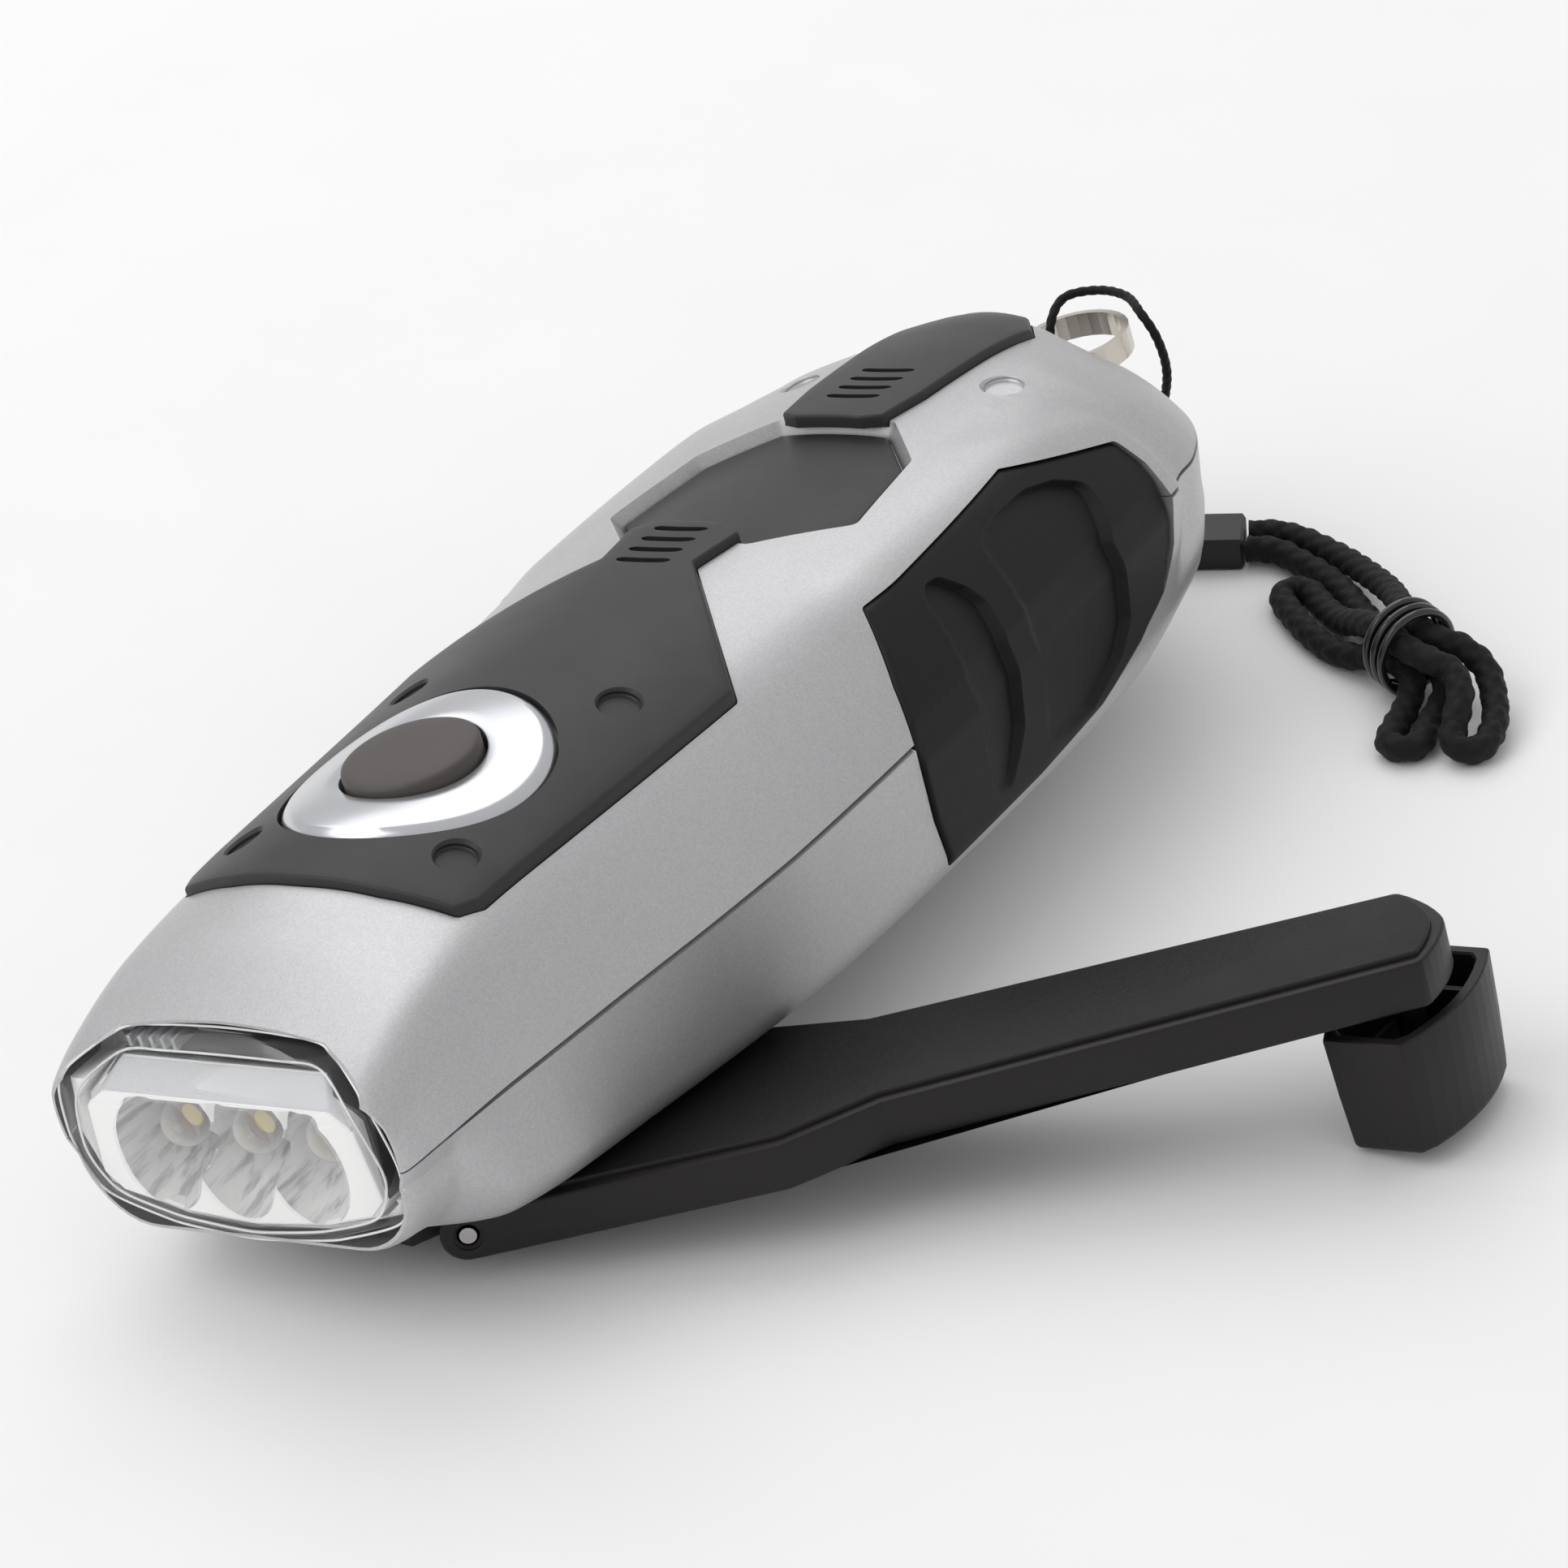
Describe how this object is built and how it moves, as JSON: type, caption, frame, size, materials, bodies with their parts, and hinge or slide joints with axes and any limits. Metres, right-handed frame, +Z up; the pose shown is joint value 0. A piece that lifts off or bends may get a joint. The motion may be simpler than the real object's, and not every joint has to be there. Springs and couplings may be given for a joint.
{
  "type": "hand crank flashlight",
  "caption": "Silver and black hand crank flashlight with an LED front, an on/off button, a folding crank with a spinning knob under the body, and a braided wrist strap tied in a hank.",
  "frame": {"origin": "centre of the object's box without the strap, on the surface that it stands on", "axes": "+Z up from the surface, +Y from the lamp to the tail, +X to the side that the crank is swung out to"},
  "size_m": [0.1144, 0.16, 0.0394],
  "materials": {
    "silver_shell": "silver metallic paint on plastic, satin, fine sparkle",
    "black_panel": "semi-gloss black plastic",
    "satin_black": "satin black moulded plastic",
    "rubber": "matt black rubber",
    "clear": "clear polished plastic",
    "white_plastic": "bright white and silver moulded plastic",
    "board": "green circuit board",
    "nylon": "natural nylon",
    "steel": "plated steel",
    "brass": "machined brass",
    "magnet": "dark sintered magnet",
    "copper": "enamelled copper winding",
    "cord": "black braided cord"
  },
  "bodies": {
    "body": {"upper_shell": "silver_shell", "lower_shell": "silver_shell", "front_panel": "black_panel", "mid_panel": "black_panel", "rear_panel": "black_panel", "switch_ring": "silver_shell", "tact_switch": "black_panel", "main_board": "board", "left_grip": "rubber", "right_grip": "rubber", "lens_cover": "clear", "reflector": "white_plastic", "led_board": "board", "led_1": "clear", "led_2": "clear", "led_3": "clear", "battery_cell_1": "steel", "battery_cell_2": "steel", "battery_cell_3": "steel", "battery_holder": "white_plastic", "shell_screw_1": "steel", "shell_screw_2": "steel", "shell_screw_3": "steel", "shell_screw_4": "steel", "gear_plate": "satin_black", "plate_screw_1": "steel", "plate_screw_2": "steel", "idler_axle_1": "steel", "idler_axle_2": "steel", "stator_core": "steel", "stator_coil": "copper", "strap_pin": "steel", "strap_ring": "steel", "strap_thread": "cord", "strap_ferrule": "satin_black", "strap_cord": "cord", "strap_tie": "cord"},
    "button": {"switch_button": "rubber"},
    "crank": {"crank_hub": "satin_black", "hub_washer": "steel", "hub_screw": "steel", "hinge_pin": "steel", "crank_gear": "nylon"},
    "arm": {"crank_arm": "satin_black", "knob_screw": "steel"},
    "knob": {"crank_knob": "satin_black"},
    "idler_1": {"idler_gear_1": "nylon"},
    "idler_2": {"idler_gear_2": "nylon"},
    "rotor": {"rotor_pinion": "brass", "rotor_magnet": "magnet"}
  },
  "joints": [
    {"name": "crank_spin", "type": "hinge", "parent": "body", "child": "crank", "pos_m": [-0.02553, -0.05733, 0.00581], "axis": [-0.1997, 0.0171, 0.9797], "continuous": true},
    {"name": "arm_fold", "type": "hinge", "parent": "crank", "child": "arm", "pos_m": [-0.02013, -0.05387, 0.00368], "axis": [-0.5713, 0.8103, -0.1306], "range_deg": [0, 180]},
    {"name": "knob_spin", "type": "hinge", "parent": "arm", "child": "knob", "pos_m": [0.04849, -0.00337, 0.01679], "axis": [-0.1997, 0.0171, 0.9797], "continuous": true},
    {"name": "button_press", "type": "slide", "parent": "body", "child": "button", "axis": [0.1998, 0.0231, -0.9796], "range_m": [0, 0.0008], "stiffness_N_per_m": 800, "springref_m": -0.0005},
    {"name": "idler_1_spin", "type": "hinge", "parent": "body", "child": "idler_1", "pos_m": [-0.02016, -0.04437, 0.01178], "axis": [-0.1997, 0.0171, 0.9797], "continuous": true},
    {"name": "idler_2_spin", "type": "hinge", "parent": "body", "child": "idler_2", "pos_m": [-0.03181, -0.0363, 0.00927], "axis": [-0.1997, 0.0171, 0.9797], "continuous": true},
    {"name": "rotor_spin", "type": "hinge", "parent": "body", "child": "rotor", "pos_m": [-0.03173, -0.0219, 0.00903], "axis": [-0.1997, 0.0171, 0.9797], "continuous": true}
  ],
  "couplings": [
    {"joint": "idler_1_spin", "follows": "crank_spin", "ratio": -3},
    {"joint": "idler_2_spin", "follows": "crank_spin", "ratio": 9},
    {"joint": "rotor_spin", "follows": "crank_spin", "ratio": -27}
  ]
}
